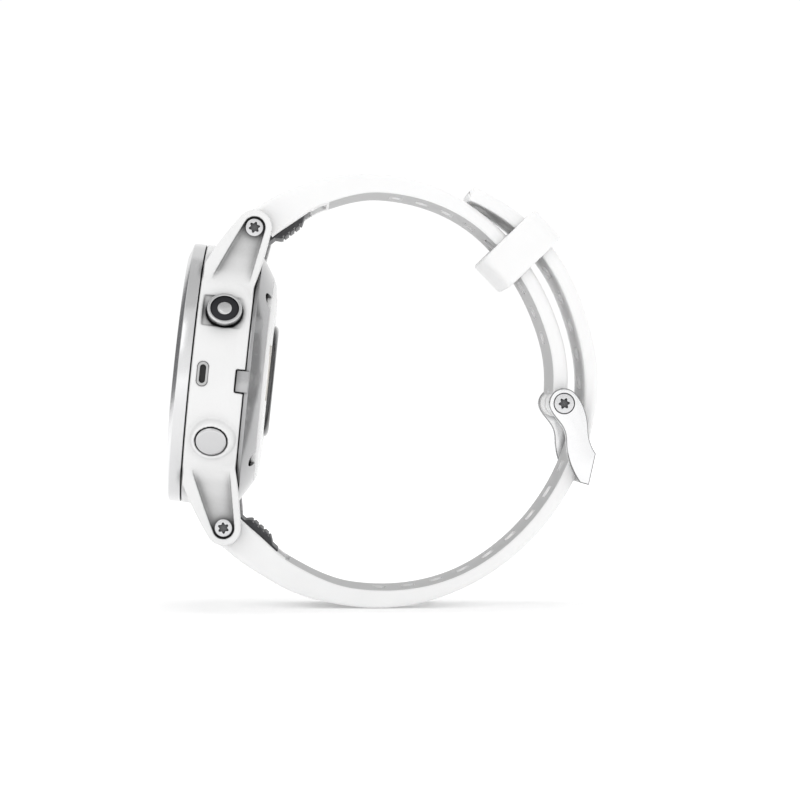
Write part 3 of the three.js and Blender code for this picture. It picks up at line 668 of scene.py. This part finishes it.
def build_screws():
    for upper, z in (("upper", 1), ("lower", -1)):
        for side, y in (("near", -1), ("far", 1)):
            screw = lobed_screw("screw", 1.43, 11.75, 12.7, LUG_A, LUG_U, 0.3 + 0.5 * (z + y))
            place_screw(f"torx_{upper}_{side}", screw, CASE, y, z, "case", f"lug_screw_{upper}_{side}")
            bpy.data.objects.remove(screw)
    for side, y in (("near", -1), ("far", 1)):
        screw = lobed_screw("screw", 1.62, 11.7, 12.45, 0, 0, 0.1)
        place_screw(f"buckle_torx_{side}", screw, AT_BUCKLE, y, 1, "buckle", f"buckle_screw_{side}")
        bpy.data.objects.remove(screw)


# ------------------------------------------------------------------ buttons
def build_start_button(button):
    """A ringed cap round a dark disc, with a plain dome in the middle."""
    cap, face = button["cap"], button["face"]
    low = CAP_WELL + 0.8
    profile = [(0, 16.9), (0.9, 16.9), (0.9, low), (cap, low), (cap, face - 0.1), (cap - 0.2, face),
               (2.28, face), (2.22, face - 0.12), (2.22, face - 0.5), (0, face - 0.5)]
    ring = button_turned("start_cap", rounded(profile, 0.08, 3, False))
    towards_button(ring, button)
    finish_piece(ring, CASE, BUTTON_STEEL, "start_button", ["start_button"], sharp=45)
    disc = [(0, face - 0.45), (2.18, face - 0.45), (2.18, face - 0.16), (1.25, face - 0.14),
            (1.15, face - 0.1), (0, face - 0.1)]
    inlay = button_turned("start_disc", rounded(disc, 0.05, 2, False))
    towards_button(inlay, button)
    finish_piece(inlay, CASE, DARK_METAL, "start_button", ["start_button_inlay"])
    dome = [(0, face - 0.2), (1.15, face - 0.2), (1.15, face - 0.05), (0.9, face + 0.12),
            (0, face + 0.2)]
    boss = button_turned("start_boss", rounded(dome, 0.1, 3, False))
    towards_button(boss, button)
    finish_piece(boss, CASE, BUTTON_STEEL, "start_button")


def build_plain_button(name, button):
    cap, face = button["cap"], button["face"]
    low = CAP_WELL + 0.8
    profile = [(0, 16.9), (0.9, 16.9), (0.9, low), (cap, low), (cap, face - 0.35),
               (cap - 0.35, face - 0.08), (cap * 0.5, face), (0, face + 0.02)]
    piece = button_turned(f"{name}_cap", rounded(profile, 0.15, 4, False))
    towards_button(piece, button)
    finish_piece(piece, CASE, BUTTON_STEEL, f"{name}_button", [f"{name}_button"],
                 sharp=45)


def build_buttons():
    for name, button in BUTTONS.items():
        if name == "start":
            build_start_button(button)
        else:
            build_plain_button(name, button)


# ------------------------------------------------------------------ band
def band_path(start, heading, arcs, step=0.5):
    """Points along a chain of arcs, each [radius, degrees]; a positive turn bends to the left."""
    points = [(start.x, start.z, heading, 0.0)]
    x, z, angle, length = points[0]
    for radius, degrees in arcs:
        turn = math.radians(degrees)
        count = max(2, round(abs(turn) * radius / step))
        piece = abs(turn) * radius / count
        for _ in range(count):
            x += piece * math.cos(angle + turn / count / 2)
            z += piece * math.sin(angle + turn / count / 2)
            angle += turn / count
            length += piece
            points.append((x, z, angle, length))
    return points


UPPER = {
    "side": 1,
    "path": band_path(UPPER_PIN, UPPER_HEADING,
                      [(48, -10), (26, -34.5), (28.5, -44), (40, -23), (24, -18), (60, -3)]),
    "thickness": [(0, 5.5), (4, 5.3), (12, 4.2), (22, 3.1), (40, 2.4), (90, 2.6)],
    "holes": [24.8 + 4.55 * k for k in range(9)],
}
LOWER = {
    "side": -1,
    "path": band_path(LOWER_PIN, LOWER_HEADING,
                      [(110, 4.2), (30.5, 30.1), (31.6, 39.9), (36.5, 52.5), (26.2, 15.6), (46, 12.7),
                       (29.8, 45)]),
    "thickness": [(0, 5.5), (4, 5.3), (12, 4.3), (24, 3.1), (45, 2.3), (90, 2.3), (130, 2.4)],
    "holes": [28.4 + 4.87 * k for k in range(17)],
}


def thickness_at(band, s):
    stations = band["thickness"]
    for (s0, t0), (s1, t1) in zip(stations, stations[1:]):
        if s <= s1:
            t = (s - s0) / (s1 - s0)
            return t0 + (t1 - t0) * t * t * (3 - 2 * t)
    return stations[-1][1]


def point_at(band, s):
    path = band["path"]
    for first, second in zip(path, path[1:]):
        if s <= second[3]:
            t = (s - first[3]) / (second[3] - first[3])
            return [a + (b - a) * t for a, b in zip(first, second)]
    return list(path[-1])


def band_section(thick, outer_radius=0.95, inner_radius=0.45, half=BAND_HALF, steps=6):
    """The band's cross-section as (y, height) points: rounder outside than on the skin side."""
    top, bottom = thick / 2, -thick / 2
    outer_radius = min(outer_radius, thick * 0.4)
    crown = 0.12
    points = []
    for k in range(9):
        t = -1 + k / 4
        points.append((t * (half - outer_radius), top - crown * t * t))
    right = arc(half - outer_radius, top - crown - outer_radius, outer_radius, 90, 0, steps)[1:]
    right += arc(half - inner_radius, bottom + inner_radius, inner_radius, 0, -90, steps)
    points += right
    points += [(t * (half - inner_radius), bottom) for t in (0.5, 0, -0.5)]
    points += [(-y, h) for y, h in reversed(right)]
    return points


def band_strip(name, band, start, end, end_round=0.6):
    """The swept strip of a band half in the loop's plane, closed by rounded ends."""
    stations = [p for p in band["path"] if start <= p[3] <= end]
    rings = []
    vertices = []
    for x, z, angle, s in stations:
        left = end - s
        scale = 1.0
        if left < end_round:
            scale = math.sqrt(max(0.03, 1 - (1 - left / end_round) ** 2))
        thick = thickness_at(band, s) * max(scale, 0.3)
        out = (-math.sin(angle) * band["side"], math.cos(angle) * band["side"])
        half = BAND_HALF - (1 - scale) * 1.2
        section = band_section(thick, half=half)
        rings.append(range(len(vertices), len(vertices) + len(section)))
        for y, height in section:
            vertices.append((x + height * out[0], y, z + height * out[1]))
    faces = [list(rings[0]), list(reversed(rings[-1]))]
    for first, second in zip(rings, rings[1:]):
        count = len(first)
        for k in range(count):
            n = (k + 1) % count
            faces.append([first[k], first[n], second[n], second[k]])
    return mesh_from(name, vertices, faces)


def slot_cutter(band, s, length=2.1, width=5.0):
    x, z, angle, _ = point_at(band, s)
    cutter = box("slot", (-length / 2, length / 2), (-width / 2, width / 2), (-3, 3), 0.25, 2)
    cutter.data.transform(Matrix.Translation((x, 0, z)) @ Matrix.Rotation(-angle, 4, "Y"))
    return cutter


def end_cutters():
    """The room that the hook, latch and lug pin need inside a band end, at the lug pin."""
    return [
        rod("hook_space", 2.15, -7.9, 7.9, segments=64),
        rod("pin_space", 1.0, -11, 11),
        box("mouth", (-1, 1), (-11, 11), (-6, 0)),
        box("hook_slot", (-4, 9), (-7.9, 7.9), (-6, -0.8)),
        box("latch_slot", (-4, 11.6), (-6.1, 6.1), (-6, -2.05)),
    ]


def to_loop(place):
    """From a local frame to the loop frame that the band strips are made in."""
    return LOOP.inverted() @ place


def build_band(name, band, place, start, end, extra, extra_cuts, node):
    strip = band_strip(name, band, start, end)
    barrel = rod("barrel", 2.75, -BAND_HALF, BAND_HALF, edge=0.9, segments=96)
    barrel.data.transform(to_loop(place))
    combine(strip, [barrel, *extra], "UNION")
    cutters = end_cutters()
    for cutter in cutters:
        cutter.data.transform(to_loop(place))
        if place.determinant() < 0:
            cutter.data.flip_normals()
    cutters += [slot_cutter(band, s) for s in band["holes"]]
    combine(strip, cutters + extra_cuts)
    strip.data.transform(LOOP)
    finish_piece(strip, Matrix.Identity(4), SILICONE, None, [node], sharp=40)
    strip.data.materials.append(SHADED_SKIN_SIDE)
    paint_skin_side_shade(strip, band, start + 9)
    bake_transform(strip)


def paint_skin_side_shade(strip, band, start):
    """Gives the faces that lie on the band's inner surface the matt skin-side finish, painted darker grey
    for their shade.
    """
    path = [p for p in band["path"][::4] if start < p[3] < SKIN_SHADE_END]
    for face in strip.data.polygons:
        centre = Vector(face.center) / MM
        near = min(path, key=lambda p: (p[0] - centre.x) ** 2 + (p[1] - centre.z) ** 2)
        if near in (path[0], path[-1]):
            continue
        out = Vector((-math.sin(near[2]), 0, math.cos(near[2]))) * band["side"]
        height = (centre - Vector((near[0], centre.y, near[1]))).dot(out)
        flat_inside = Vector(face.normal).dot(out) < -0.9
        if flat_inside and height < -0.4 * thickness_at(band, near[3]):
            face.material_index = 1


def tang_outline(margin=0.0):
    return [(-0.1 - margin, -0.9), (1.2 + margin, -0.9), (4.7 + margin, -9.6),
            (4.4 + margin, -10.9 - margin), (3.65 - margin, -10.7 - margin), (3.6 - margin, -9.4)]


def at_buckle_in_loop(thing, swing=0.0):
    """Moves a solid from the buckle pin's frame, lifted by swing degrees, to the loop frame."""
    lift = Matrix.Rotation(-math.radians(swing), 4, "Y")
    thing.data.transform(to_loop(AT_BUCKLE) @ lift)
    return thing


def build_bands():
    loop_end = at_buckle_in_loop(rod("loop", 2.15, -BAND_HALF, BAND_HALF, edge=0.7, segments=80))
    pin_hole = at_buckle_in_loop(rod("pin_hole", PIN_BORE, -11, 11))
    notch = at_buckle_in_loop(box("notch", (-3.2, 4), (-1.6, 1.6), (-4, 2.2), 0.3))
    build_band("upper_strap", UPPER, AT_UPPER_END, 1, UPPER_BAND_END, [loop_end], [pin_hole, notch],
               "upper_band")
    room = []
    for swing in (0, BUCKLE_SWING / 2, BUCKLE_SWING):
        space = prism("tang_room", tang_outline(0.25), -TANG_SPACE_HALF, TANG_SPACE_HALF)
        room.append(at_buckle_in_loop(space, swing))
        room.append(at_buckle_in_loop(rod("tang_eye", 1.85, -1.45, 1.45), swing))
    build_band("lower_strap", LOWER, AT_LOWER_END, 1, LOWER["path"][-1][3], [], room,
               "lower_band")


def build_band_ends():
    for place_name, place in (("upper", AT_UPPER_END), ("lower", AT_LOWER_END)):
        hook = rod("hook", 2.0, -7.8, 7.8, edge=0.15, segments=64)
        tongue = box("tongue", (0.5, 8.8), (-7.8, 7.8), (-1.9, -0.95), 0.15)
        combine(hook, [tongue], "UNION")
        combine(hook, [rod("bore", 1.0, -11, 11), box("mouth", (-1, 1), (-11, 11), (-4, 0))])
        hook.name = f"{place_name}_hook"
        finish_piece(hook, place, HOOK_PLASTIC, f"{place_name}_end",
                     [f"{place_name}_end_hook"])
        latch = box("latch", (-1, 9), (-6, 6), (-2.95, -2.15), 0.2)
        pad = [(1.4, -2.5), (2.6, -3.8), (6.6, -3.8), (8.4, -2.5)]
        combine(latch, [prism("pad", rounded(pad, 0.4), -6, 6, 0.25)], "UNION")
        grooves = [box("rib", (x - 0.18, x + 0.18), (-7, 7), (-5, -3.55), 0.06)
                   for x in (3, 4.1, 5.2, 6.3)]
        combine(latch, grooves)
        latch.name = f"{place_name}_latch_slider"
        finish_piece(latch, place, HOOK_PLASTIC, f"{place_name}_latch",
                     [f"{place_name}_latch"])


# ------------------------------------------------------------------ keeper
def build_keeper():
    """The loose loop: a rounded tube of silicone round both layers of the band."""
    out = Vector((-math.sin(KEEPER_HEADING), 0, math.cos(KEEPER_HEADING)))
    place = frame_matrix(KEEPER_PIVOT + out * KEEPER_REACH, KEEPER_HEADING)
    half, depth, along = KEEPER_HALF_WIDTH, KEEPER_HALF_DEPTH, KEEPER_HALF_LENGTH
    outer = [(-depth, -half), (-depth, half), (depth, half), (depth, -half)]
    low, high = KEEPER_OPENING
    wide = KEEPER_OPENING_HALF
    inner = [(low, -wide), (low, wide), (high, wide), (high, -wide)]
    loop = prism("keeper_loop", rounded(outer, 2.2, 8), -along, along, 0.55, 4, axis="X")
    hole = prism("hole", rounded(inner, 1.6, 8), -along - 1, along + 1, axis="X")
    combine(loop, [hole])
    finish_piece(loop, place, SILICONE, "keeper", ["keeper"], sharp=45)


# ------------------------------------------------------------------ buckle
def arm_outline():
    points = [(1.75, 1.64)]
    points += bezier((1.75, 1.64), (3.2, 0.1), (3.8, -2.2), (3.82, -4.3), 12)
    points += bezier((3.82, -4.3), (3.9, -6.3), (5.05, -8), steps=8)
    points += [(3.95, -13), (2.5, -12.6)]
    points += bezier((2.5, -12.6), (0.9, -10.3), (0.35, -8), (0.32, -6), 10)
    points += bezier((0.32, -6), (0.3, -3.6), (-0.9, -3.1), (-2, -1.33), 12)
    points += arc(0, 0, 2.4, 213.6, 43.1, 28)[1:-1]
    return points


def build_buckle():
    arm = prism("buckle_arms", arm_outline(), ARM_INNER, ARM_OUTER, 0.28)
    other = mirror_copy(arm, -1, 1)
    bar_shape = [(5.05, -8), (3.95, -13), (3.1, -12.8), (4.2, -7.8)]
    bar = prism("bar", rounded(bar_shape, 0.2, 3), -12.2, 12.2, 0.1)
    combine(arm, [other, bar], "UNION")
    combine(arm, [
        rod("bore", PIN_BORE, -13, 13),
        rod("sink", 1.72, 11.55, 13.5, edge=0.02),
        rod("sink", 1.72, -13.5, -11.55, edge=0.02),
        box("notch", (2, 6), (-TANG_SPACE_HALF, TANG_SPACE_HALF), (-11.2, -7), 0.3),
    ])
    finish_piece(arm, AT_BUCKLE, BUCKLE_STEEL, "buckle", ["buckle_frame"], sharp=30)
    arm.data.materials.append(RIM_SHADE_STEEL)
    arm.data.materials.append(PAINTED_SHADE_STEEL)
    # Painted shade: faces not facing along Y take the rim shade steel, and those below the top of the
    # crossbar take the darkest steel.
    bar_top = (BUCKLE_PIN.z - BAR_DROP) * MM
    for face in arm.data.polygons:
        if abs(face.normal.y) < 0.96:
            face.material_index = 2 if face.center.z < bar_top else 1
    tang = prism("tang_tongue", rounded(tang_outline(), 0.3, 4), -1.2, 1.2, 0.25)
    combine(tang, [rod("eye", 1.6, -1.2, 1.2, edge=0.15)], "UNION")
    combine(tang, [rod("bore", PIN_BORE, -3, 3)])
    finish_piece(tang, AT_BUCKLE, EDGE_STEEL, "tang", ["buckle_tang"], sharp=40)
    pin = rod("buckle_bar", 0.8, -11.4, 11.4, edge=0.1)
    finish_piece(pin, AT_BUCKLE, SCREW_STEEL, "buckle", ["buckle_pin"])


# ------------------------------------------------------------------ carried-over nodes
CARRIED = {
    "chapter_ring": DARK_PLASTIC, "display_module": DARK_PLASTIC, "main_board": BOARD,
    "antenna_ring": COPPER, "battery": FOIL, "vibration_motor": SCREW_STEEL, "back_gasket": RUBBER,
    "sensor_board": BOARD, "charge_contacts": GOLD, "lug_pin_upper": SCREW_STEEL,
    "lug_pin_lower": SCREW_STEEL,
}
CARRIED.update({f"rear_cover_screw_{i}": SCREW_STEEL for i in (1, 2, 3, 4)})
CARRIED.update({f"{name}_button_seal": RUBBER for name in BUTTONS})
CARRIED.update({f"{name}_button_switch": DARK_PLASTIC for name in BUTTONS})


def dress_carried_nodes():
    for name, material in CARRIED.items():
        for material_slot in frame["nodes"][name].material_slots:
            material_slot.material = material


# ------------------------------------------------------------------ stage, lights and camera
def area_light(name, place, target, size, power):
    light = bpy.data.lights.new(name, "AREA")
    light.shape = "RECTANGLE"
    light.size, light.size_y = size
    light.energy = power
    lamp = new_object(name, light)
    lamp.location = place
    lamp.rotation_euler = (Vector(target) - Vector(place)).to_track_quat("-Z", "Y").to_euler()
    return lamp


def build_stage():
    mesh = bpy.data.meshes.new("floor")
    reach = 6.0
    mesh.from_pydata([(-reach, -reach, 0), (reach, -reach, 0), (reach, reach, 0), (-reach, reach, 0)], [],
                     [(0, 1, 2, 3)])
    floor = new_object("floor", mesh)
    material, _, shader = new_material("floor_paper", (0.95, 0.95, 0.95), 0.9)
    shader.inputs["Specular IOR Level"].default_value = 0.0
    shader.inputs["Emission Color"].default_value = (1, 1, 1, 1)
    brighten_far_floor(material.node_tree, shader)
    mesh.materials.append(material)
    world = bpy.data.worlds.new("studio")
    bpy.context.scene.world = world
    world.use_nodes = True
    build_sky(world.node_tree)
    bpy.context.scene.view_settings.view_transform = "Standard"


def brighten_far_floor(tree, shader):
    """A glow that grows away from the watch, so that the paper has no horizon but keeps its shadow."""
    nodes, links = tree.nodes, tree.links
    place = nodes.new("ShaderNodeTexCoord")
    length = nodes.new("ShaderNodeVectorMath")
    length.operation = "LENGTH"
    glow = nodes.new("ShaderNodeMapRange")
    glow.inputs["From Min"].default_value = 0.06
    glow.inputs["From Max"].default_value = 0.3
    glow.inputs["To Min"].default_value = 0.15
    glow.inputs["To Max"].default_value = 0.4
    links.new(place.outputs["Object"], length.inputs[0])
    links.new(length.outputs["Value"], glow.inputs["Value"])
    links.new(glow.outputs["Result"], shader.inputs["Emission Strength"])


def build_sky(tree):
    """White walls all round, with a grey overhead panel whose dark rim shows in the polished bezel."""
    nodes, links = tree.nodes, tree.links
    place = nodes.new("ShaderNodeTexCoord")
    split = nodes.new("ShaderNodeSeparateXYZ")
    shades = nodes.new("ShaderNodeValToRGB")
    shades.color_ramp.interpolation = "LINEAR"
    stops = [(0, 1.0), (0.25, 1.0), (0.55, 0.82), (0.86, 0.86), (0.866, 0.2), (0.874, 0.2), (0.882, 0.66),
             (1, 0.6)]
    ramp_stops = shades.color_ramp.elements
    while len(ramp_stops) < len(stops):
        ramp_stops.new(0.5)
    for stop, (position, shade) in zip(ramp_stops, stops):
        stop.position = position
        stop.color = (shade, shade, shade, 1)
    links.new(place.outputs["Generated"], split.inputs["Vector"])
    links.new(split.outputs["Z"], shades.inputs["Fac"])
    dark_left = nodes.new("ShaderNodeMapRange")
    dark_left.inputs["From Min"].default_value = -0.35
    dark_left.inputs["From Max"].default_value = -0.48
    behind = nodes.new("ShaderNodeMapRange")
    behind.inputs["From Min"].default_value = 0.45
    behind.inputs["From Max"].default_value = 0.6
    both = nodes.new("ShaderNodeMath")
    both.operation = "MULTIPLY"
    flagged = nodes.new("ShaderNodeMix")
    flagged.data_type = "RGBA"
    flagged.inputs["B"].default_value = (0.16, 0.16, 0.165, 1)
    links.new(split.outputs["X"], dark_left.inputs["Value"])
    links.new(split.outputs["Y"], behind.inputs["Value"])
    links.new(dark_left.outputs["Result"], both.inputs[0])
    links.new(behind.outputs["Result"], both.inputs[1])
    links.new(both.outputs["Value"], flagged.inputs["Factor"])
    links.new(shades.outputs["Color"], flagged.inputs["A"])
    links.new(flagged.outputs["Result"], nodes["Background"].inputs["Color"])
    nodes["Background"].inputs["Strength"].default_value = 1.03


def build_lights():
    """A soft key above the camera; the white surroundings do the rest."""
    area_light("key", (-0.25, -0.6, 0.45), (0, 0, 0.035), (0.35, 0.35), 0.3)
    top = area_light("top", (0.0, 0.05, 0.6), (0, 0, 0.035), (0.45, 0.3), 0.9)
    top.visible_glossy = False


CAMERA_DISTANCE = 520.0
SENSOR_WIDTH = 36.0
LENS_LENGTH = 143.685                         # millimetres, on that sensor
CAMERA_YAW = math.radians(1.74)
AIM_X, AIM_Z = -12.46, 33.36


def build_camera():
    data = bpy.data.cameras.new("camera")
    data.sensor_width = SENSOR_WIDTH
    data.lens = LENS_LENGTH
    data.clip_start = 0.01
    camera = new_object("camera", data)
    camera.location = (AIM_X * MM, (MIDDLE_Y - CAMERA_DISTANCE) * MM, AIM_Z * MM)
    camera.rotation_euler = (math.pi / 2, 0, -CAMERA_YAW)
    bpy.context.scene.camera = camera


build_camera()
build_stage()
build_lights()
build_case()
build_bezel()
build_display()
build_back()
build_port()
build_screws()
build_buttons()
build_bands()
build_band_ends()
build_keeper()
build_buckle()
dress_carried_nodes()
